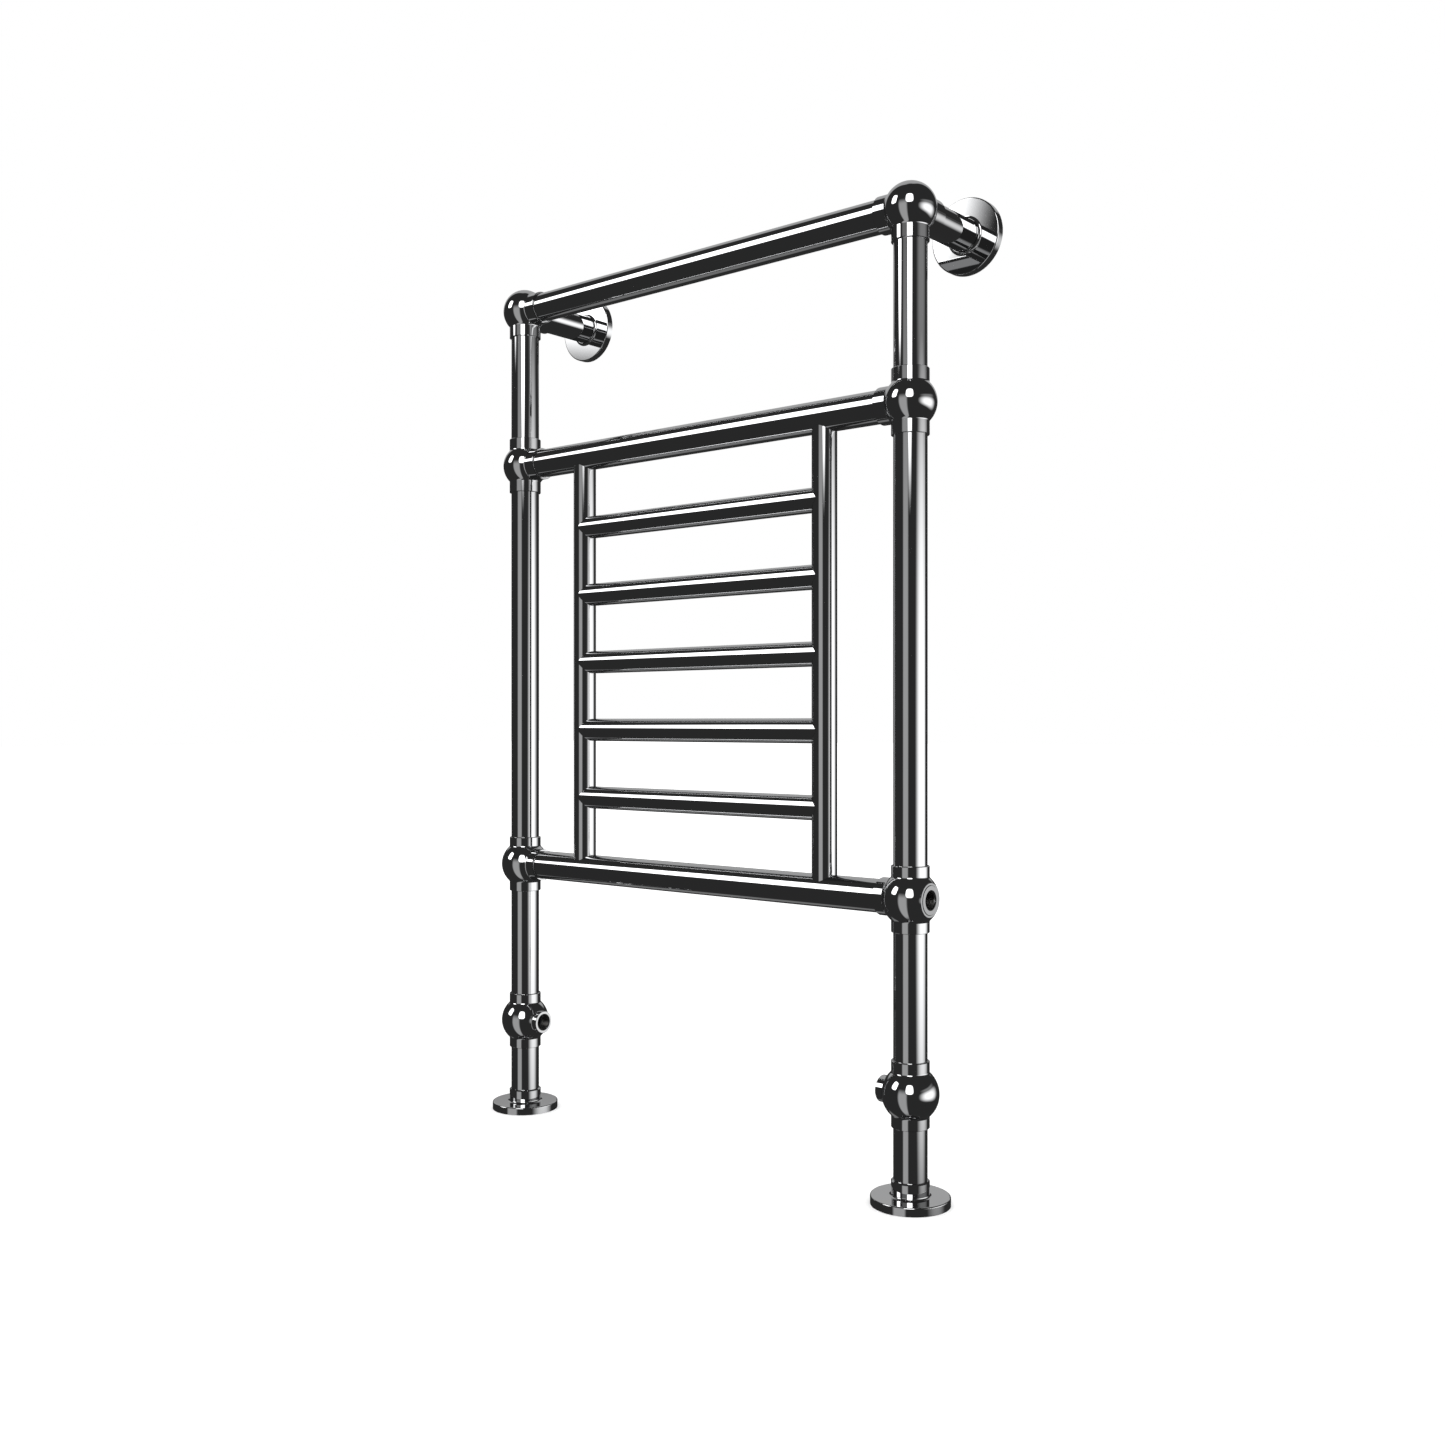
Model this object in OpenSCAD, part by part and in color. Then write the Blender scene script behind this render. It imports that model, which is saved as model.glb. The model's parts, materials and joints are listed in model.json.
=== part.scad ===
// Ball-jointed towel radiator: chromed tubes brazed into ball fittings, standing on two feet
// and tied back to the wall by two stays.
// Millimetres, Z up. The origin is on the floor, midway between the two posts and midway
// between the front of the floor covers and the wall.

/* [Frame] */
// Distance between the axes of the two posts
post_spacing = 631.5; // [560:0.5:800]
// Height of the top rail's axis above the floor
top_rail_z = 1106; // [1000:1:1300]
// Height of the bottom rail's axis above the floor
bottom_rail_z = 339.2; // [260:0.2:420]
// Height of the low valve ports above the floor
valve_port_z = 122.7; // [118:0.1:160]
// Distance from the post axis back to the wall
wall_reach = 127.5; // [112:0.5:160]
// Outside diameter of the posts, rails and stays
tube_d = 38.1; // [37.5:0.1:38.3]
// Wall thickness of every tube
tube_wall = 1.5; // [1:0.1:2]

/* [Ladder] */
// Distance between the axes of the two ladder stiles
stile_spacing = 396; // [300:1:460]
// Outside diameter of the ladder stiles
stile_d = 29.8; // [24:0.1:31]
// Outside diameter of the ladder rungs
rung_d = 29.6; // [20:0.1:29.6]
// Number of rungs
rung_count = 5; // [3:1:6]
// Height from one rung to the next
rung_pitch = 90; // [70:1:100]
// Height from the last rung to the rail above it, and from the first rung to the rail below it
rung_end_gap = 96; // [70:1:120]

/* [Ball fittings] */
// Diameter of the balls on the top and middle rails
upper_ball_d = 60; // [58:0.5:64]
// Diameter of the balls on the bottom rail and at the valve ports
lower_ball_d = 64.4; // [62:0.2:66]
// Outside diameter of the collar round each tube
collar_d = 42.8; // [42:0.2:45]
// Distance from a ball's centre to the end of each collar
collar_reach = 37; // [35:0.5:40]
// Distance from a top ball's centre to the end of the collar round the stay
wall_collar_reach = 40.5; // [37:0.5:44]
// Distance from a ball's centre to the end of the tube's socket
socket_stop = 21; // [20.5:0.5:23]
// Diameter of the waterway drilled through each ball
waterway_d = 24; // [16:1:26]

/* [Ports] */
// Diameter of each half-inch pipe-thread port
port_bore_d = 21; // [20.9:0.1:21.2]
// Outside diameter of the neck of a valve port
port_neck_d = 30; // [28:0.5:34]
// Distance from a ball's centre to the face of its valve port
port_reach = 37.5; // [36:0.5:42]
// Threaded length of a valve port
port_thread = 16; // [14:1:18]
// Diameter of the flat ring round the element port
element_ring_d = 37.2; // [32:0.2:38]
// Distance from the ball's centre to the face of the element port
element_reach = 26.7; // [26.2:0.1:28]
// Threaded length of the element port
element_thread = 14; // [13:0.5:14.5]

/* [Cover flanges] */
// Diameter of the cover flanges on the floor and the wall
cover_d = 89.4; // [84:0.2:100]
// Thickness of a cover flange at its rim
cover_rim = 10; // [9.5:0.5:12]
// Length of a floor cover from the floor to the end of its collar
cover_length = 27.5; // [26:0.1:34]
// Outside diameter of a floor cover's collar
cover_collar_d = 43; // [42.8:0.1:45]

/* [Fixing plates] */
// Diameter of the screwed plate hidden under each cover
plate_d = 76; // [74:1:78]
// Thickness of the plate
plate_t = 4; // [3.5:0.5:4.5]
// Diameter of the circle that the three fixing screws stand on
screw_circle_d = 58; // [56:1:60]
// Diameter of each fixing screw's hole
screw_hole_d = 5.5; // [4.5:0.5:6]
// Length of the spigot that stands inside the tube
spigot_length = 35; // [30:1:45]

/* [Hidden] */
SIDES = [["left", -1], ["right", 1]];
SIDE_PARTS = [
    "top_ball", "middle_ball", "bottom_ball", "valve_ball",
    "upper_post", "main_post", "leg", "foot_tube", "wall_arm", "ladder_stile",
    "foot_plate", "foot_set_screw", "wall_plate", "wall_set_screw",
    "floor_cover", "floor_cover_ring", "wall_cover", "wall_cover_ring"
];
CENTRE_PARTS = ["top_rail", "middle_rail", "bottom_rail", "vent_plug", "vent_seal", "bleed_screw"];
$fn = 96;

// Colours
chrome = "silver";
bright_steel = "gainsboro";
brass = "goldenrod";
rubber = "dimgray";

// The frame
half_spacing = post_spacing / 2;
half_stiles = stile_spacing / 2;
post_y = -(wall_reach - cover_d / 2) / 2;
wall_y = post_y + wall_reach;
middle_rail_z = bottom_rail_z + 2 * rung_end_gap + (rung_count - 1) * rung_pitch;
tube_r = tube_d / 2;
stile_r = stile_d / 2;
rung_r = rung_d / 2;
upper_ball_r = upper_ball_d / 2;
lower_ball_r = lower_ball_d / 2;
flow_hole_d = 18;       // holes that let water from one tube into the next
braze_gap = 0.1;        // between a tube and the fitting or tube that it is brazed to
cut = 1;                // how far a cutting shape runs past what it cuts
tube_stop = socket_stop + 0.5;
collar_taper = 0.5;     // how far back from its end a collar begins to taper
element_bevel = 2.4;    // round the ring of the element port
collar_lip = 1.75;      // thickness that is left at the collar's end
fillet_r = 3;           // where a collar grows out of its ball
fillet_sink = 0.005;    // how far the fillet runs into the ball and the collar, to join them cleanly

// Cover flanges and the tubes inside them
cover_bore_r = tube_r + 0.3;
cover_wall = 1.7;
rim_round = 1.5;
flare_r = 2.5;          // where a floor cover's collar grows out of its flange
root_fillet_r = 3.5;    // where a wall cover's flange rises to meet the tube
cover_chamfer = 1.4;
boss_gap = 0.4;         // between a wall cover's boss and the plate behind it
ring_r = 0.7;           // half the thickness of the rubber ring
ring_seat = 0.05;       // between the ring and the tube that it wipes
ring_groove_r = tube_r + 2 * ring_r + 0.1;
floor_ring_z = cover_length - 5;
wall_ring_z = (plate_t + boss_gap + cover_rim) / 2 - 0.7;

// Set screws that lock the tubes on their spigots, the floor ones hidden by a cover's collar
spigot_r = tube_r - tube_wall - 0.2;
spigot_bore_r = 12.5;
set_screw_r = 2.5;
set_screw_height = 17;  // from the plate's outer face
set_screw_key = 2.9;    // across the corners of the hexagon socket

// Air vent on the left top ball
vent_thread_r = 4.86;
vent_seat = 29;         // from the ball's centre to the flat that the seal sits on
vent_seal_t = 1.2;
vent_head_r = 6;
vent_head_t = 4.6;
vent_inner_end = 15;    // from the ball's centre to the plug's inner end
bleed_r = 2.5;
bleed_tip = 20;         // from the ball's centre to the seat of the bleed screw
bleed_square = 4;

// ---- Shared shapes ----

// Turns a shape drawn along +Z to point along +X
module along_x() {
    rotate([0, 90, 0]) children();
}

// Turns a shape drawn along +Z to point along +Y
module along_y() {
    rotate([-90, 0, 0]) children();
}

module pipe(outer_r, length) {
    difference() {
        cylinder(r = outer_r, h = length);
        translate([0, 0, -cut]) cylinder(r = outer_r - tube_wall, h = length + 2 * cut);
    }
}

// The collar round one tube, from the ball's centre out to the given reach: tapered at its
// far end, and growing out of a ball of the given radius in a fillet
module collar(ball_r, reach) {
    outer_r = collar_d / 2;
    fillet_x = outer_r + fillet_r - fillet_sink;
    fillet_z = sqrt(pow(ball_r + fillet_r - fillet_sink, 2) - pow(fillet_x, 2));
    rotate_extrude() {
        polygon([
            [0, 0], [outer_r, 0], [outer_r, reach - collar_taper],
            [tube_r + braze_gap + collar_lip, reach], [0, reach]
        ]);
        difference() {
            polygon([[0, 0], [fillet_x, fillet_z], [0, fillet_z]]);
            translate([fillet_x, fillet_z]) circle(r = fillet_r);
        }
    }
}

// A round shape along +Z with a 45-degree bevel round its far end
module bevelled_disc(outer_r, length, bevel) {
    rotate_extrude() polygon([
        [0, 0], [outer_r, 0], [outer_r, length - bevel], [outer_r - bevel, length], [0, length]
    ]);
}

module socket_bore() {
    translate([0, 0, socket_stop]) cylinder(r = tube_r + braze_gap, h = collar_reach);
}

module waterway() {
    cylinder(d = waterway_d, h = socket_stop + cut);
}

// A ball of the given radius with a socket for each tube. The ball itself is passed as children.
// The turns list turns +Z onto each socket, and the wet list says which of those sockets carry
// water.
module ball_fitting(ball_r, turns, wet) {
    difference() {
        union() {
            children();
            for (turn = turns) rotate(turn) collar(ball_r, turn == BACK ? wall_collar_reach : collar_reach);
        }
        for (turn = turns) rotate(turn) socket_bore();
        for (turn = wet) rotate(turn) waterway();
        sphere(d = waterway_d);
    }
}

// The bore of a port along +Z: threaded from the face at the given reach, chamfered at the
// mouth, and a plain flow hole from there to the ball's centre
module port_bore(reach, thread) {
    chamfer = 1;
    cylinder(d = flow_hole_d - 2, h = reach);
    translate([0, 0, reach - thread]) cylinder(d = port_bore_d, h = thread + cut);
    translate([0, 0, reach - chamfer]) {
        cylinder(d1 = port_bore_d, d2 = port_bore_d + 4 * chamfer, h = 2 * chamfer);
    }
}

UP = [0, 0, 0];
DOWN = [180, 0, 0];
BACK = [-90, 0, 0];
// Towards the other post, for the post on the given side
function inward(side) = [0, -90 * side, 0];

module at_post(side, z) {
    translate([side * half_spacing, post_y, z]) children();
}

// ---- Ball fittings ----

module top_ball(side) {
    wet = [DOWN, inward(side)];
    color(chrome) at_post(side, top_rail_z) difference() {
        ball_fitting(upper_ball_r, [DOWN, inward(side), BACK], wet) sphere(r = upper_ball_r);
        if (side < 0) mirror([1, 0, 0]) along_x() {
            translate([0, 0, vent_seat]) cylinder(r = vent_head_r + 0.6, h = upper_ball_r);
            cylinder(r = vent_thread_r + braze_gap, h = upper_ball_r + cut);
        }
    }
}

module middle_ball(side) {
    sockets = [UP, DOWN, inward(side)];
    color(chrome) at_post(side, middle_rail_z) {
        ball_fitting(upper_ball_r, sockets, sockets) sphere(r = upper_ball_r);
    }
}

module bottom_ball(side) {
    sockets = [UP, DOWN, inward(side)];
    color(chrome) at_post(side, bottom_rail_z) {
        if (side < 0) ball_fitting(lower_ball_r, sockets, sockets) sphere(r = lower_ball_r);
        else element_ball(sockets);
    }
}

// The bottom ball that also takes a heating element: a flat ring round a threaded port,
// in line with the bottom rail
module element_ball(sockets) {
    flat_r = element_ring_d / 2 + 0.4;
    flat_x = sqrt(pow(lower_ball_r, 2) - pow(flat_r, 2));
    difference() {
        ball_fitting(lower_ball_r, sockets, sockets) {
            difference() {
                sphere(r = lower_ball_r);
                along_x() translate([0, 0, flat_x]) cylinder(r = lower_ball_r, h = lower_ball_r);
            }
            along_x() bevelled_disc(element_ring_d / 2, element_reach, element_bevel);
        }
        along_x() port_bore(element_reach, element_thread);
    }
}

// The ball with a valve port: water comes in at the port and goes up the leg, and the socket
// for the foot tube is blind
module valve_ball(side) {
    color(chrome) at_post(side, valve_port_z) difference() {
        ball_fitting(lower_ball_r, [UP, DOWN], [UP]) {
            sphere(r = lower_ball_r);
            rotate(inward(side)) bevelled_disc(port_neck_d / 2, port_reach, 0.6);
        }
        rotate(inward(side)) port_bore(port_reach, port_thread);
    }
}

// ---- Posts, legs and rails ----

module post_tube(side, low_z, high_z) {
    color(chrome) at_post(side, low_z + tube_stop) pipe(tube_r, high_z - low_z - 2 * tube_stop);
}

module upper_post(side) {
    post_tube(side, middle_rail_z, top_rail_z);
}

module main_post(side) {
    post_tube(side, bottom_rail_z, middle_rail_z);
}

module leg(side) {
    post_tube(side, valve_port_z, bottom_rail_z);
}

// The hole for a set screw, wider than the screw by the given gap
module set_screw_hole(gap) {
    cylinder(r = set_screw_r + gap, h = tube_d);
}

// The dry tube between the valve ball and the floor plate
module foot_tube(side) {
    color(chrome) at_post(side, plate_t) difference() {
        pipe(tube_r, valve_port_z - tube_stop - plate_t);
        translate([0, 0, set_screw_height - plate_t]) along_y() set_screw_hole(braze_gap);
    }
}

// Both middle and bottom rails have a flow hole for each ladder stile
module rail(z, stile_turn) {
    length = post_spacing - 2 * tube_stop;
    color(chrome) translate([0, post_y, z]) difference() {
        translate([-length / 2, 0, 0]) along_x() pipe(tube_r, length);
        for (side = SIDES) translate([side[1] * half_stiles, 0, 0]) rotate(stile_turn) {
            cylinder(d = flow_hole_d, h = tube_d);
        }
    }
}

module top_rail() {
    length = post_spacing - 2 * tube_stop;
    color(chrome) translate([-length / 2, post_y, top_rail_z]) along_x() pipe(tube_r, length);
}

module middle_rail() {
    rail(middle_rail_z, DOWN);
}

module bottom_rail() {
    rail(bottom_rail_z, UP);
}

// The stay that ties a top ball back to the wall plate; its set screw is on top
module wall_arm(side) {
    color(chrome) at_post(side, top_rail_z) along_y() difference() {
        translate([0, 0, tube_stop]) pipe(tube_r, wall_reach - plate_t - tube_stop);
        translate([0, 0, wall_reach - set_screw_height]) rotate([90, 0, 0]) set_screw_hole(braze_gap);
    }
}

// ---- Ladder ----

function rung_z(i) = bottom_rail_z + rung_end_gap + (i - 1) * rung_pitch;

// Saddle-cut onto the rails at both ends, with a flow hole for each rung
module ladder_stile(side) {
    color(chrome) translate([side * half_stiles, post_y, 0]) difference() {
        translate([0, 0, bottom_rail_z]) pipe(stile_r, middle_rail_z - bottom_rail_z);
        for (z = [bottom_rail_z, middle_rail_z]) translate([-stile_d, 0, z]) along_x() {
            cylinder(r = tube_r + braze_gap, h = 2 * stile_d);
        }
        for (i = [1:rung_count]) translate([0, 0, rung_z(i)]) rotate(inward(side)) {
            cylinder(d = flow_hole_d, h = stile_d);
        }
    }
}

// Saddle-cut onto the stiles at both ends
module rung(i) {
    color(chrome) difference() {
        translate([-half_stiles, post_y, rung_z(i)]) along_x() pipe(rung_r, stile_spacing);
        for (side = SIDES) translate([side[1] * half_stiles, post_y, rung_z(i) - rung_d]) {
            cylinder(r = stile_r + braze_gap, h = 2 * rung_d);
        }
    }
}

// ---- Fixing plates, covers and set screws ----

// Screwed plate with the spigot that the tube slides over; its outer face is at z = 0
module fixing_plate() {
    difference() {
        union() {
            cylinder(d = plate_d, h = plate_t);
            cylinder(r = spigot_r, h = plate_t + spigot_length);
        }
        translate([0, 0, -cut]) cylinder(r = spigot_bore_r, h = plate_t + spigot_length + 2 * cut);
        for (a = [90, 210, 330]) rotate(a) translate([screw_circle_d / 2, 0, -cut]) {
            cylinder(d = screw_hole_d, h = plate_t + 2 * cut);
            translate([0, 0, plate_t + cut - 2.5]) cylinder(d1 = screw_hole_d, d2 = 2 * screw_hole_d, h = 3);
        }
        translate([0, 0, set_screw_height]) along_y() set_screw_hole(braze_gap / 2);
    }
}

// Grub screw with a hexagon socket, flush with the tube so that a cover slides over it
module set_screw() {
    inner_end = spigot_bore_r - 0.5;
    length = tube_r - 0.2 - inner_end;
    along_y() translate([0, 0, inner_end]) difference() {
        cylinder(r = set_screw_r, h = length);
        translate([0, 0, length - 2.2]) cylinder(d = set_screw_key, h = 2.2 + cut, $fn = 6);
    }
}

// Half section of a flange: a dished disc with a rounded rim, open at z = 0
module flange_section() {
    rim_r = cover_d / 2;
    difference() {
        union() {
            square([rim_r - rim_round, cover_rim]);
            square([rim_r, cover_rim - rim_round]);
            translate([rim_r - rim_round, cover_rim - rim_round]) circle(r = rim_round);
        }
        translate([0, -cut]) square([rim_r - cover_wall, cover_rim - cover_wall + cut]);
    }
}

// Turns a half section, with the tube's bore and a groove for the ring cut out of it
module turned_cover(ring_z) {
    rotate_extrude() difference() {
        children();
        translate([0, -cut]) square([cover_bore_r, cover_length + 2 * cut]);
        translate([0, ring_z - ring_r - 0.25]) square([ring_groove_r, 2 * ring_r + 0.5]);
    }
}

// The floor's flange has a collar that stands up round the tube
module floor_flange() {
    collar_r = cover_collar_d / 2;
    flare_x = collar_r + flare_r - fillet_sink;
    flare_z = cover_rim + flare_r - fillet_sink;
    root_z = cover_rim - cover_wall / 2;
    turned_cover(floor_ring_z) union() {
        flange_section();
        polygon([
            [0, root_z], [collar_r, root_z], [collar_r, cover_length - cover_chamfer],
            [collar_r - cover_chamfer, cover_length], [0, cover_length]
        ]);
        difference() {
            translate([0, root_z]) square([flare_x, flare_z - root_z]);
            translate([flare_x, flare_z]) circle(r = flare_r);
        }
    }
}

// The wall's flange rises to the tube in a fillet, and a boss inside it holds the ring
module wall_flange() {
    boss_z = plate_t + boss_gap;
    root_r = cover_bore_r + 0.4;
    turned_cover(wall_ring_z) union() {
        flange_section();
        difference() {
            translate([0, boss_z]) square([root_r + root_fillet_r, cover_rim + root_fillet_r - boss_z]);
            translate([root_r + root_fillet_r, cover_rim + root_fillet_r]) circle(r = root_fillet_r);
        }
        translate([0, boss_z]) square([ring_groove_r + cover_wall, cover_rim - cover_wall / 2 - boss_z]);
    }
}

// Rubber ring in a cover's groove; it holds the cover wherever it is slid
module cover_ring(ring_z) {
    rotate_extrude() translate([tube_r + ring_seat + ring_r, ring_z]) circle(r = ring_r, $fn = 32);
}

module on_floor(side) {
    at_post(side, 0) children();
}

// Turns a floor piece to stand on the wall behind a top ball
module on_wall(side) {
    translate([side * half_spacing, wall_y, top_rail_z]) rotate([90, 0, 0]) children();
}

module foot_plate(side) {
    color(bright_steel) on_floor(side) fixing_plate();
}

module wall_plate(side) {
    color(bright_steel) on_wall(side) fixing_plate();
}

module foot_set_screw(side) {
    color(bright_steel) on_floor(side) translate([0, 0, set_screw_height]) set_screw();
}

module wall_set_screw(side) {
    color(bright_steel) on_wall(side) translate([0, 0, set_screw_height]) set_screw();
}

module floor_cover(side) {
    color(chrome) on_floor(side) floor_flange();
}

module wall_cover(side) {
    color(chrome) on_wall(side) wall_flange();
}

module floor_cover_ring(side) {
    color(rubber) on_floor(side) cover_ring(floor_ring_z);
}

module wall_cover_ring(side) {
    color(rubber) on_wall(side) cover_ring(wall_ring_z);
}

// ---- Air vent ----

// Points a shape drawn along +Z outwards from the left top ball
module at_vent() {
    at_post(-1, top_rail_z) mirror([1, 0, 0]) along_x() children();
}

module vent_seal() {
    color(rubber) at_vent() translate([0, 0, vent_seat]) difference() {
        cylinder(r = vent_head_r, h = vent_seal_t);
        translate([0, 0, -cut]) cylinder(r = vent_thread_r + braze_gap, h = vent_seal_t + 2 * cut);
    }
}

module vent_plug() {
    head_z = vent_seat + vent_seal_t;
    edge = 0.5;
    color(chrome) at_vent() difference() {
        union() {
            translate([0, 0, vent_inner_end]) cylinder(r = vent_thread_r, h = head_z - vent_inner_end + cut);
            translate([0, 0, head_z]) rotate_extrude() polygon([
                [0, 0], [vent_head_r, 0], [vent_head_r, vent_head_t - edge],
                [vent_head_r - edge, vent_head_t], [0, vent_head_t]
            ]);
        }
        translate([0, 0, bleed_tip]) cylinder(r = bleed_r, h = head_z);
        translate([0, 0, vent_inner_end - cut]) cylinder(r = 1, h = bleed_tip - vent_inner_end + 2 * cut);
        translate([0, 0, head_z + 2]) rotate([0, 90, 0]) cylinder(r = 0.8, h = vent_head_r + cut);
    }
}

// Cone-tipped screw with a square for the bleed key
module bleed_screw() {
    seat_gap = 0.1;
    shank_r = bleed_r - 0.05;
    cone = 1.6;
    shank_z = bleed_tip + seat_gap + cone;
    head_z = vent_seat + vent_seal_t + vent_head_t;
    color(brass) at_vent() {
        translate([0, 0, bleed_tip + seat_gap]) cylinder(r1 = shank_r - cone, r2 = shank_r, h = cone);
        translate([0, 0, shank_z]) cylinder(r = shank_r, h = head_z - shank_z);
        translate([0, 0, head_z + 1.29]) cube([bleed_square, bleed_square, 2.6], center = true);
    }
}

// ---- Assembly ----

for (side = SIDES) top_ball(side[1]);
for (side = SIDES) middle_ball(side[1]);
for (side = SIDES) bottom_ball(side[1]);
for (side = SIDES) valve_ball(side[1]);
for (side = SIDES) upper_post(side[1]);
for (side = SIDES) main_post(side[1]);
for (side = SIDES) leg(side[1]);
for (side = SIDES) foot_tube(side[1]);
for (side = SIDES) wall_arm(side[1]);
for (side = SIDES) ladder_stile(side[1]);
for (side = SIDES) foot_plate(side[1]);
for (side = SIDES) foot_set_screw(side[1]);
for (side = SIDES) wall_plate(side[1]);
for (side = SIDES) wall_set_screw(side[1]);
for (side = SIDES) floor_cover(side[1]);
for (side = SIDES) floor_cover_ring(side[1]);
for (side = SIDES) wall_cover(side[1]);
for (side = SIDES) wall_cover_ring(side[1]);
top_rail();
middle_rail();
bottom_rail();
vent_plug();
vent_seal();
bleed_screw();
for (i = [1:rung_count]) rung(i);
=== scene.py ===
# %% [markdown]
# # A ball-jointed towel radiator
# The real thing is a bathroom radiator made like plumbing: chromed tubes are brazed into cast
# metal balls, it stands on two feet and two stays tie it back to the wall. Nearly everything
# that can be seen is a mirror, so the look depends on two things only: how clean the curves
# are, and what the studio puts in front of them.
#
# ## The frame
# The frame holds every solid piece of the radiator at its true size and place. It is loaded
# first and never moved. Sizes further down are read back from it, so nothing that is added here
# has to be fitted by eye.

import json
import math

import bpy
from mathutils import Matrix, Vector


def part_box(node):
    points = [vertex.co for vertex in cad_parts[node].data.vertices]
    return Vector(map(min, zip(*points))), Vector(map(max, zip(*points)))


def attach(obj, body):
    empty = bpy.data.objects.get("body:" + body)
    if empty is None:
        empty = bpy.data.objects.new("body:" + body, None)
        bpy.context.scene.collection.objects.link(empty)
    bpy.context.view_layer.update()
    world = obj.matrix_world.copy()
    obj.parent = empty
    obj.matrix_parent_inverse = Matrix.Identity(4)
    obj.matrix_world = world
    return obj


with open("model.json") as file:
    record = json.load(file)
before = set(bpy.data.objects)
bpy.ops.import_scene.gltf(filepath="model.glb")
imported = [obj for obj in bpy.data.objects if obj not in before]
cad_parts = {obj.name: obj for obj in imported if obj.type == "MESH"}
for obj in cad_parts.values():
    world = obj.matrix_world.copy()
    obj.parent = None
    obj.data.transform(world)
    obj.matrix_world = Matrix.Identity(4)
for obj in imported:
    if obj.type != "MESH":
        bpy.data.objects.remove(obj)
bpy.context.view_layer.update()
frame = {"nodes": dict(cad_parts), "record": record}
nodes = frame["nodes"]
MM = 0.001  # the scene is in metres

# %% [markdown]
# ## Reading sizes off the frame
# A node's lowest and highest corners give its middle and its size. The right post gives the
# plane that all the posts and rails lie in, and the radius that all of them share.

# %% Axes of the tubes
def middle(node):
    """The middle of a node's box."""
    low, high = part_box(node)
    return (low + high) / 2


post_y = middle("main_post_right").y
post_low, post_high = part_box("main_post_right")
tube_r = (post_high.x - post_low.x) / 2
print("posts and rails at y = %.4f, with a radius of %.5f" % (post_y, tube_r))

# %% [markdown]
# ## Materials
# Every finish is a small node tree on a Principled shader. It could be one flat colour, but even
# polished metal varies a little in tone and in sharpness, and that is what makes it look real.
# Patterns read Object coordinates, in metres, so a scale of 1000 makes a pattern about a
# millimetre across.

# %% A helper for node trees
def new_finish(name, base, metallic, roughness):
    """A new finish, with its node tree and its shader."""
    finish = bpy.data.materials.new(name)
    finish.use_nodes = True
    tree = finish.node_tree
    shader = tree.nodes["Principled BSDF"]
    shader.inputs["Base Color"].default_value = (*base, 1)
    shader.inputs["Metallic"].default_value = metallic
    shader.inputs["Roughness"].default_value = roughness
    return finish, tree, shader


def noise(tree, scale, detail=2.0, stretch=(1, 1, 1)):
    """Noise on Object coordinates; a stretch under 1 draws it out along that axis."""
    where = tree.nodes.new("ShaderNodeTexCoord")
    mapping = tree.nodes.new("ShaderNodeMapping")
    mapping.inputs["Scale"].default_value = stretch
    pattern = tree.nodes.new("ShaderNodeTexNoise")
    pattern.inputs["Scale"].default_value = scale
    pattern.inputs["Detail"].default_value = detail
    tree.links.new(where.outputs["Object"], mapping.inputs["Vector"])
    tree.links.new(mapping.outputs["Vector"], pattern.inputs["Vector"])
    return pattern.outputs["Fac"]


def spread(tree, value, low, high, start=0.3, end=0.7):
    """A pattern's values from start to end, mapped onto the range low to high."""
    node = tree.nodes.new("ShaderNodeMapRange")
    node.inputs["From Min"].default_value = start
    node.inputs["From Max"].default_value = end
    node.inputs["To Min"].default_value = low
    node.inputs["To Max"].default_value = high
    tree.links.new(value, node.inputs["Value"])
    return node.outputs["Result"]


def tint(tree, value, dark, light):
    """Two colours mixed by a pattern."""
    node = tree.nodes.new("ShaderNodeMix")
    node.data_type = "RGBA"
    node.inputs["A"].default_value = (*dark, 1)
    node.inputs["B"].default_value = (*light, 1)
    tree.links.new(value, node.inputs["Factor"])
    return node.outputs["Result"]


def bump(tree, shader, value, height):
    """Gives the shader a bump from a pattern; the height is in metres."""
    node = tree.nodes.new("ShaderNodeBump")
    node.inputs["Strength"].default_value = 1
    node.inputs["Distance"].default_value = height
    tree.links.new(value, node.inputs["Height"])
    tree.links.new(node.outputs["Normal"], shader.inputs["Normal"])


def wear(tree, shader, pattern, dark, light, rough):
    """Lets one pattern set both the colour and, from rough[0] to rough[1], the roughness."""
    tree.links.new(tint(tree, pattern, dark, light), shader.inputs["Base Color"])
    tree.links.new(spread(tree, pattern, *rough), shader.inputs["Roughness"])


# %% [markdown]
# ### Polished chrome
# Bright nickel and a thin skin of chrome over polished metal. Chrome is a fairly dark mirror,
# a little blue, and it gives back about six tenths of the light. Handling leaves patches that
# are a touch less sharp, so the roughness wanders a little and never reaches zero.

# %% Chrome
def polished_chrome():
    finish, tree, shader = new_finish("polished_chrome", (0.6, 0.6, 0.6), 1.0, 0.03)
    haze = noise(tree, scale=26, detail=4)
    tone = tint(tree, haze, dark=(0.585, 0.59, 0.6), light=(0.615, 0.618, 0.622))
    tree.links.new(tone, shader.inputs["Base Color"])
    handling = noise(tree, scale=45, detail=5)
    tree.links.new(spread(tree, handling, low=0.01, high=0.04), shader.inputs["Roughness"])
    return finish


# %% [markdown]
# ### Zinc-plated steel
# The fixing plates are only seen when a cover is slid away. Zinc freezes in crystals a few
# millimetres across, each tilted a little differently, which is what a Voronoi pattern's flat
# cells look like. Each cell gets its own grey and its own sharpness.

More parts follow.
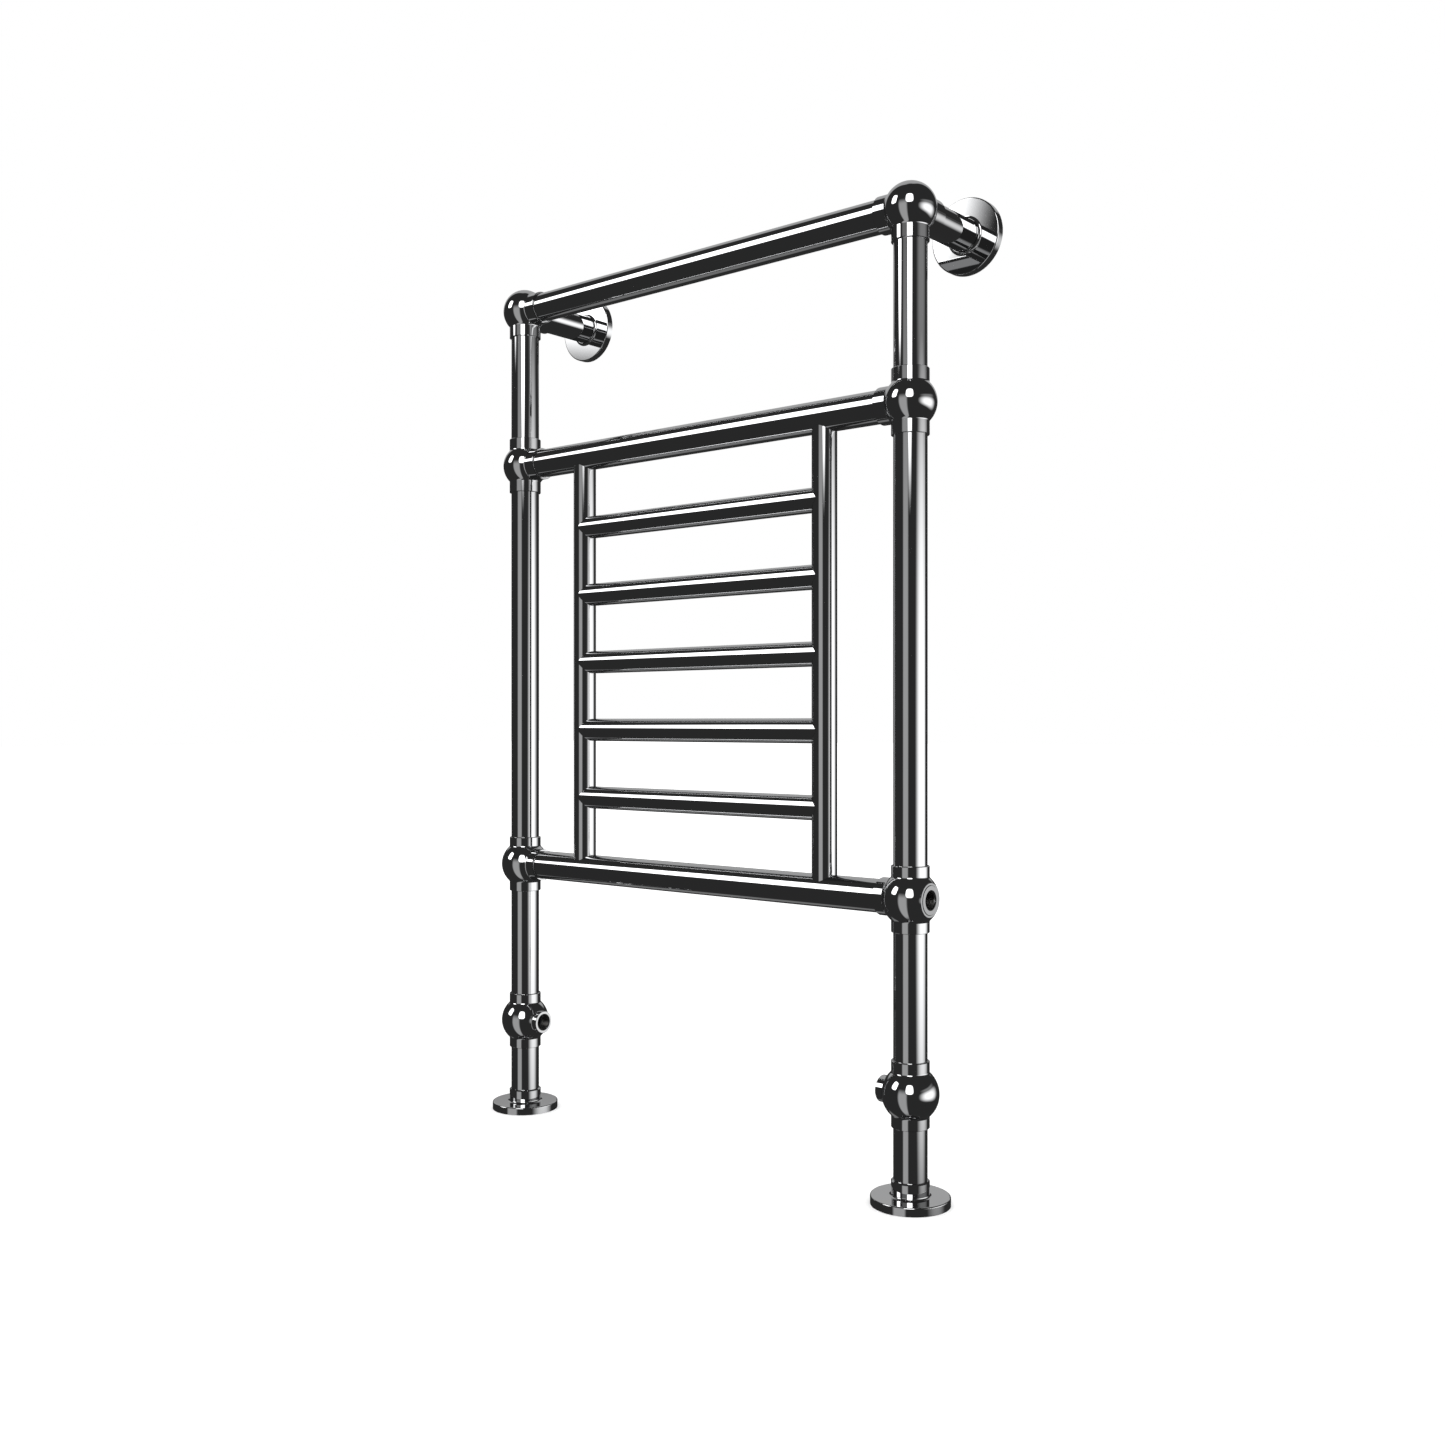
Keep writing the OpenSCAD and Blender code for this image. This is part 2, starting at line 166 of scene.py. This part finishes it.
# %% Zinc plate
def zinc_plate():
    finish, tree, shader = new_finish("zinc_plate", (0.6, 0.61, 0.63), 1.0, 0.4)
    where = tree.nodes.new("ShaderNodeTexCoord")
    crystals = tree.nodes.new("ShaderNodeTexVoronoi")
    crystals.inputs["Scale"].default_value = 260  # about 4 mm a crystal
    tree.links.new(where.outputs["Object"], crystals.inputs["Vector"])
    split = tree.nodes.new("ShaderNodeSeparateColor")
    tree.links.new(crystals.outputs["Color"], split.inputs["Color"])
    cell = split.outputs["Red"]
    tone = tint(tree, cell, dark=(0.5, 0.51, 0.53), light=(0.7, 0.71, 0.73))
    tree.links.new(tone, shader.inputs["Base Color"])
    sharpness = spread(tree, cell, low=0.3, high=0.5, start=0, end=1)
    tree.links.new(sharpness, shader.inputs["Roughness"])
    bump(tree, shader, noise(tree, scale=1200, detail=3), height=0.02 * MM)
    return finish


# %% [markdown]
# ### Blackened screws, rubber and brass
# A set screw is hardened and oiled black, so it is a dull dark metal. Moulded rubber is nearly
# black with a fine skin. The bleed screw is turned brass that has begun to brown, so its
# colour is mixed from a bright and a tarnished tone.

# %% Screw steel, rubber and brass
def black_steel():
    finish, tree, shader = new_finish("black_screw_steel", (0.2, 0.2, 0.21), 1.0, 0.35)
    oil = noise(tree, scale=700, detail=4)
    wear(tree, shader, oil, (0.13, 0.13, 0.14), (0.3, 0.3, 0.31), rough=(0.28, 0.45))
    return finish


def moulded_rubber():
    finish, tree, shader = new_finish("moulded_rubber", (0.03, 0.03, 0.03), 0.0, 0.6)
    skin = noise(tree, scale=2500, detail=3)
    wear(tree, shader, skin, (0.02, 0.02, 0.02), (0.045, 0.045, 0.044), rough=(0.52, 0.7))
    bump(tree, shader, skin, height=0.015 * MM)
    return finish


def turned_brass():
    finish, tree, shader = new_finish("turned_brass", (0.72, 0.55, 0.28), 1.0, 0.25)
    tarnish = noise(tree, scale=500, detail=5)
    wear(tree, shader, tarnish, (0.5, 0.36, 0.18), (0.78, 0.6, 0.32), rough=(0.42, 0.2))
    lathe_lines = noise(tree, scale=900, detail=2, stretch=(1, 0.05, 0.05))
    bump(tree, shader, lathe_lines, height=0.01 * MM)
    return finish


# %% [markdown]
# ### Inside the ports
# The plating bath hardly reaches down a threaded hole, so the threads keep the duller grey of
# the nickel under the chrome, with cutting oil dried on them in patches. Their colour is also made
# far darker than nickel is: that part is painted shade, the shade down inside the bore painted
# into the threads.

# %% Nickel with painted shade
def nickel_painted_shade():
    # Painted shade: the base colour and both tones are far darker than nickel, standing in for the
    # shade inside the bore.
    finish, tree, shader = new_finish("nickel_painted_shade", (0.16, 0.155, 0.15), 1.0, 0.35)
    stain = noise(tree, scale=320, detail=4)
    wear(tree, shader, stain, (0.09, 0.087, 0.082), (0.2, 0.195, 0.19), rough=(0.42, 0.3))
    return finish


# %% [markdown]
# ### Each node gets the finish of its slot
# The record that comes with the frame says which material slot every node belongs to. Reading
# the slots from it is safer than a second list here, which could fall out of step.

# %% Put the finishes on the frame's nodes
finishes = {
    "chrome": polished_chrome(),
    "plated_steel": zinc_plate(),
    "screw_steel": black_steel(),
    "rubber": moulded_rubber(),
    "brass": turned_brass(),
}
for entry in frame["record"]["subparts"]:
    mesh = nodes[entry["node"]].data
    mesh.materials.clear()
    mesh.materials.append(finishes[entry["material_slot"]])

# %% [markdown]
# ## Working in edit mode
# Blender's operators act on whatever is selected. So each new piece starts with nothing
# selected, is shaped in edit mode, and ends in object mode. Its origin stays at the middle of
# the scene, because then its mesh alone says where it is.

# %% Helpers for edit mode
def only(piece):
    """Leaves one object selected and active."""
    bpy.ops.object.select_all(action="DESELECT")
    piece.select_set(True)
    bpy.context.view_layer.objects.active = piece


def settle(piece):
    """Writes an object's place, turn and scale into its mesh."""
    only(piece)
    bpy.ops.object.transform_apply(location=True, rotation=True, scale=True)


def place(pattern, name, centre, axis, finish):
    """Copies a piece made round +Z at the origin to a centre and an axis, riding the frame."""
    piece = pattern.copy()
    piece.data = pattern.data.copy()
    piece.name = piece.data.name = name
    bpy.context.collection.objects.link(piece)
    piece.location = centre
    piece.rotation_euler = Vector((0, 0, 1)).rotation_difference(Vector(axis)).to_euler()
    settle(piece)
    piece.data.materials.append(finish)
    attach(piece, "frame")
    return piece


def drop(pattern):
    """Removes the pattern once its copies are in place."""
    bpy.data.meshes.remove(pattern.data)


# %% [markdown]
# ## Braze beads
# A tube goes into each ball's collar with a gap of a tenth of a millimetre. Molten braze is
# drawn into that gap, and stands in a small rounded bead where the tube comes out. Without it
# the mouth of the collar shows as a black line.
#
# A torus primitive would do, but spinning a small ring of points once round the tube is how
# any turned shape can be made. Half of the bead is sunk in the collar.

# %% One bead round +Z
BEAD_R = 0.3 * MM
BEAD_POINTS = 12
STEPS_ROUND = 128
BEAD_WELD = 0.01 * MM
QUARTER_TURN = math.radians(90)


def bead_pattern():
    """A bead round the tube's axis; the last step of the spin is welded to the first."""
    bpy.ops.object.select_all(action="DESELECT")
    bpy.ops.mesh.primitive_circle_add(
        vertices=BEAD_POINTS, radius=BEAD_R, location=(tube_r, 0, 0), rotation=(QUARTER_TURN, 0, 0)
    )
    bead = bpy.context.object
    settle(bead)
    bpy.ops.object.mode_set(mode="EDIT")
    bpy.ops.mesh.select_all(action="SELECT")
    bpy.ops.mesh.spin(steps=STEPS_ROUND, angle=2 * math.pi, center=(0, 0, 0), axis=(0, 0, 1))
    bpy.ops.mesh.select_all(action="SELECT")
    bpy.ops.mesh.remove_doubles(threshold=BEAD_WELD)
    bpy.ops.mesh.normals_make_consistent(inside=False)
    bpy.ops.object.mode_set(mode="OBJECT")
    bpy.ops.object.shade_smooth()
    return bead


bead = bead_pattern()
print("one bead has", len(bead.data.polygons), "faces")

# %% [markdown]
# ### Where the beads go
# A ball's box reaches to the ends of its collars, so the mouth of the socket for each tube is
# where the box ends. Every upright tube is listed with the balls at its low and its high end,
# and every rail with its pair of balls. The foot tube and the stay to the wall have a ball at
# one end only.

# %% A bead at each socket
X_AXIS, Y_AXIS, Z_AXIS = 0, 1, 2
POST_TUBES = {
    "upper_post": ("middle_ball", "top_ball"),
    "main_post": ("bottom_ball", "middle_ball"),
    "leg": ("valve_ball", "bottom_ball"),
    "foot_tube": (None, "valve_ball"),
}
RAILS = {"top_rail": "top_ball", "middle_rail": "middle_ball", "bottom_rail": "bottom_ball"}


def bead_at(tube, ball, along, far_side):
    """A bead where a tube leaves a ball; far_side says which end of the ball's box it is."""
    mouth = middle(tube)
    mouth[along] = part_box(ball)[1 if far_side else 0][along]
    axis = [0, 0, 0]
    axis[along] = 1
    return place(bead, "bead_%s_%s" % (tube, ball), mouth, axis, finishes["chrome"])


beads = []
for side in ("left", "right"):
    for tube, (low_ball, high_ball) in POST_TUBES.items():
        name = "%s_%s" % (tube, side)
        if low_ball:
            beads.append(bead_at(name, "%s_%s" % (low_ball, side), Z_AXIS, True))
        beads.append(bead_at(name, "%s_%s" % (high_ball, side), Z_AXIS, False))
    beads.append(bead_at("wall_arm_" + side, "top_ball_" + side, Y_AXIS, True))
    for rail, ball in RAILS.items():
        beads.append(bead_at(rail, "%s_%s" % (ball, side), X_AXIS, side == "left"))
drop(bead)
print(len(beads), "braze beads")

# %% [markdown]
# ## Pipe threads
# The frame has each port as a plain bore. A real half-inch port is cut with a pipe thread: 14
# turns to the inch, cut about 1.2 mm deep, and always right-handed.
#
# A row of plain rings would look much the same from afar, but up close a thread has to climb.
# The Screw modifier does that: it turns a small diamond round the axis and lifts it by one
# pitch a turn. The outer half of the diamond is buried in the wall of the bore, and the inner
# half is the crest. Its corners are bevelled first, because a cut thread is never a knife edge.

# %% One thread round +Z
PITCH = 25.4 * MM / 14
THREAD_DEPTH = 1.16 * MM
HALF_CREST = 0.48 * PITCH  # so that the turns don't quite touch
CREST_ROUND = 0.16 * MM
STEPS_A_TURN = 64
THREAD_WELD = 0.001 * MM
SHARP_EDGE = math.radians(35)


def thread_pattern(bore_r, turns):
    """A thread of so many turns on a bore's wall, with its middle at the origin."""
    bpy.ops.object.select_all(action="DESELECT")
    bpy.ops.mesh.primitive_circle_add(
        vertices=4, radius=THREAD_DEPTH, rotation=(QUARTER_TURN, 0, 0)
    )
    thread = bpy.context.object
    thread.scale = (1, HALF_CREST / THREAD_DEPTH, 1)
    thread.location = (bore_r, 0, -turns * PITCH / 2)
    settle(thread)
    bpy.ops.object.mode_set(mode="EDIT")
    bpy.ops.mesh.select_all(action="SELECT")
    bpy.ops.mesh.bevel(affect="VERTICES", offset=CREST_ROUND, segments=2)
    bpy.ops.object.mode_set(mode="OBJECT")
    screw = thread.modifiers.new("turns", "SCREW")
    screw.axis = "Z"
    screw.angle = 2 * math.pi
    screw.screw_offset = PITCH
    screw.iterations = turns
    screw.steps = screw.render_steps = STEPS_A_TURN
    bpy.ops.object.modifier_apply(modifier=screw.name)
    bpy.ops.object.mode_set(mode="EDIT")
    bpy.ops.mesh.select_all(action="SELECT")
    bpy.ops.mesh.remove_doubles(threshold=THREAD_WELD)
    bpy.ops.mesh.fill_holes(sides=0)
    bpy.ops.mesh.select_all(action="SELECT")
    bpy.ops.mesh.normals_make_consistent(inside=False)
    bpy.ops.object.mode_set(mode="OBJECT")
    bpy.ops.object.shade_smooth_by_angle(angle=SHARP_EDGE)
    return thread


# %% [markdown]
# ### Where the threads go
# The record lists each port with its place, its axis, its radius and its length. A thread gets
# as many whole turns as fit behind the chamfer at the port's mouth.

# %% A thread in each port
# This finish carries painted shade: its dark colour stands in for the shade down the bore.
nickel = nickel_painted_shade()
MOUTH_CHAMFER = 1 * MM
for mount in frame["record"]["mounts"]:
    if mount["kind"] != "threaded_hole":
        continue
    bore_r = mount["dims"]["r_mm"] * MM
    turns = int((mount["dims"]["length_mm"] * MM - MOUTH_CHAMFER) / PITCH)
    thread = thread_pattern(bore_r, turns)
    port = place(thread, mount["name"] + "_thread", mount["pos_m"], mount["axis"], nickel)
    drop(thread)
    print(port.name, turns, "turns,", len(port.data.polygons), "faces")

# %% [markdown]
# ## The studio
# A mirror shows its room. So the room is dark, as it is for showing silver, and soft panels in
# it draw the bright lines that describe each curve. Area lamps could be the panels, but here
# they are painted on the world by direction. They then need no place of their own, and stay
# where they are however the view turns.
#
# One world answers three kinds of ray. A ray from the camera sees the white backdrop. A ray
# from a dull surface gathers even light. A ray off a mirror sees the dark room and its panels.

# %% Brightness of the studio
BACKDROP = 1.0
AMBIENT = 1.5
ROOM = 0.034
print("backdrop %.1f, ambient %.1f, dark room %.3f" % (BACKDROP, AMBIENT, ROOM))

# %% [markdown]
# ### A small helper for sums
# The panels' shapes are worked out in Math nodes. The helper adds one, with a plain number or
# another node's output in each of its sockets.

# %% Math nodes
def math_node(tree, operation, *values):
    """A Math node's result, from up to three numbers or sockets."""
    node = tree.nodes.new("ShaderNodeMath")
    node.operation = operation
    for socket, value in zip(node.inputs, values):
        if isinstance(value, (int, float)):
            socket.default_value = value
        else:
            tree.links.new(value, socket)
    return node.outputs[0]


# %% [markdown]
# ### One soft panel
# A direction is turned until the panel's middle is straight ahead. Its angles across and up are
# then divided by the panel's half sizes, so the panel's edge is where they make 1. Adding them
# as powers rounds the corners: 2 gives an ellipse, and 8 nearly a rectangle. A smooth step
# across the edge gives the soft falloff of a lit cloth.

# %% A panel painted on the world
def soft_panel(
    tree, direction, azimuth, elevation, half_width, half_height, softness, strength, roundness=8
):
    """A panel as seen from the middle of the room. Angles are in degrees, azimuth 0 along +Y."""
    turn = tree.nodes.new("ShaderNodeVectorRotate")
    turn.rotation_type = "Z_AXIS"
    turn.inputs["Angle"].default_value = math.radians(azimuth)
    tree.links.new(direction, turn.inputs["Vector"])
    split = tree.nodes.new("ShaderNodeSeparateXYZ")
    tree.links.new(turn.outputs["Vector"], split.inputs["Vector"])

    across = math_node(tree, "ARCTAN2", split.outputs["X"], split.outputs["Y"])
    height = math_node(tree, "ARCSINE", split.outputs["Z"])
    up = math_node(tree, "SUBTRACT", height, math.radians(elevation))
    powers = []
    for angle, half_size in ((across, half_width), (up, half_height)):
        share = math_node(tree, "DIVIDE", angle, math.radians(half_size))
        size = math_node(tree, "ABSOLUTE", share)
        powers.append(math_node(tree, "POWER", size, roundness))
    edge = math_node(tree, "POWER", math_node(tree, "ADD", *powers), 1 / roundness)

    soft = softness / min(half_width, half_height)
    fade = tree.nodes.new("ShaderNodeMapRange")
    fade.interpolation_type = "SMOOTHSTEP"
    fade.inputs["From Min"].default_value = 1 + soft
    fade.inputs["From Max"].default_value = 1 - soft
    fade.inputs["To Min"].default_value = 0
    fade.inputs["To Max"].default_value = strength
    tree.links.new(edge, fade.inputs["Value"])
    return fade.outputs["Result"]


# %% [markdown]
# ### The panels
# Each one is named for where it hangs. The two softboxes make the white dots on every ball, and
# the white cloth on the right whitens that side of the posts. The others are dim and turn parts
# of the dark to grey: the tall screen in front draws the grey stripe down each post.

# %% The panels' places and strengths
PANELS = {
    "softbox in front, to the left": dict(
        azimuth=-138, elevation=27.7, half_width=11.9, half_height=12.9,
        softness=1.4, strength=4, roundness=4),
    "softbox in front, to the right": dict(
        azimuth=151, elevation=27.5, half_width=15.5, half_height=17,
        softness=2.5, strength=4, roundness=3.5),
    "white cloth on the right": dict(
        azimuth=67, elevation=-2, half_width=33.5, half_height=13.5,
        softness=7.5, strength=1.75, roundness=2.5),
    "dim strip over the white cloth": dict(
        azimuth=68, elevation=17, half_width=30, half_height=5,
        softness=3, strength=0.3, roundness=3),
    "tall dim screen in front": dict(
        azimuth=179.5, elevation=-30, half_width=17.5, half_height=47,
        softness=5, strength=0.5),
    "dim cloth overhead, behind": dict(
        azimuth=-40, elevation=45, half_width=41, half_height=32,
        softness=4, strength=0.5),
    "dim card near the floor, behind": dict(
        azimuth=-66, elevation=-46, half_width=13, half_height=10,
        softness=3, strength=0.24, roundness=3),
}

# %% [markdown]
# ### The world
# The brightest panel wins wherever two overlap, and nothing is darker than the room. The Light
# Path node then tells the three kinds of ray apart. Cycles would otherwise aim extra rays at the
# bright parts of a world, but here only mirrors see the panels, so that is switched off.

# %% World
def studio_world():
    """The world: white for the camera, even light for dull surfaces, panels for mirrors."""
    world = bpy.data.worlds.new("studio")
    world.use_nodes = True
    world.cycles.sampling_method = "NONE"
    bpy.context.scene.world = world
    tree = world.node_tree
    tree.nodes.clear()

    direction = tree.nodes.new("ShaderNodeTexCoord").outputs["Generated"]
    in_mirrors = ROOM
    for panel in PANELS.values():
        in_mirrors = math_node(tree, "MAXIMUM", soft_panel(tree, direction, **panel), in_mirrors)

    path = tree.nodes.new("ShaderNodeLightPath")
    from_camera = path.outputs["Is Camera Ray"]
    plain = math_node(tree, "MULTIPLY_ADD", from_camera, BACKDROP - AMBIENT, AMBIENT)
    mix = tree.nodes.new("ShaderNodeMix")
    tree.links.new(path.outputs["Is Glossy Ray"], mix.inputs["Factor"])
    tree.links.new(plain, mix.inputs["A"])
    tree.links.new(in_mirrors, mix.inputs["B"])
    background = tree.nodes.new("ShaderNodeBackground")
    background.inputs["Color"].default_value = (1, 1, 1, 1)
    tree.links.new(mix.outputs["Result"], background.inputs["Strength"])
    out = tree.nodes.new("ShaderNodeOutputWorld")
    tree.links.new(background.outputs["Background"], out.inputs["Surface"])
    return world


world = studio_world()
print(world.name, "has", len(PANELS), "panels in", len(world.node_tree.nodes), "nodes")

# %% [markdown]
# ## The floor
# A pale plane that only catches the soft shade under the feet. The even light makes the rest of
# it as white as the backdrop, so its far edge doesn't show. Mirrors don't see it, because a
# white floor would fill the lower half of every ball and hide the dark room.

# %% Floor
FLOOR_SIDE = 60
FLOOR_PAINT = (0.9, 0.9, 0.9)


def pale_floor():
    """A matt floor that isn't part of the object."""
    bpy.ops.object.select_all(action="DESELECT")
    bpy.ops.mesh.primitive_plane_add(size=FLOOR_SIDE, location=(0, 0, 0))
    floor = bpy.context.object
    floor.name = "studio_floor"
    finish, tree, shader = new_finish("pale_floor", FLOOR_PAINT, 0.0, 0.9)
    shader.inputs["Specular IOR Level"].default_value = 0
    floor.data.materials.append(finish)
    floor.visible_glossy = False
    return floor


print(pale_floor().name, FLOOR_SIDE, "m a side")

# %% [markdown]
# ## The camera
# It stands in front and to the right, just under half of the radiator's height, and looks dead
# level, so every post stays upright in the picture. The lens is about as long as the sensor is
# wide, which sees 53 degrees. The plain Standard view keeps the backdrop a clean white.

# %% Camera
TO_THE_RIGHT = 1.190
IN_FRONT = 1.365  # of the posts
EYE_HEIGHT = 0.535
TURN_TO_THE_LEFT = math.radians(40.04)
SENSOR_WIDTH = 36  # mm
LENS = 36.03  # mm

bpy.ops.object.camera_add(
    location=(TO_THE_RIGHT, post_y - IN_FRONT, EYE_HEIGHT),
    rotation=(QUARTER_TURN, 0, TURN_TO_THE_LEFT),
)
camera = bpy.context.object
camera.data.sensor_width = SENSOR_WIDTH
camera.data.lens = LENS
bpy.context.scene.camera = camera
bpy.context.scene.view_settings.view_transform = "Standard"
print("camera at", tuple(round(value, 3) for value in camera.location))
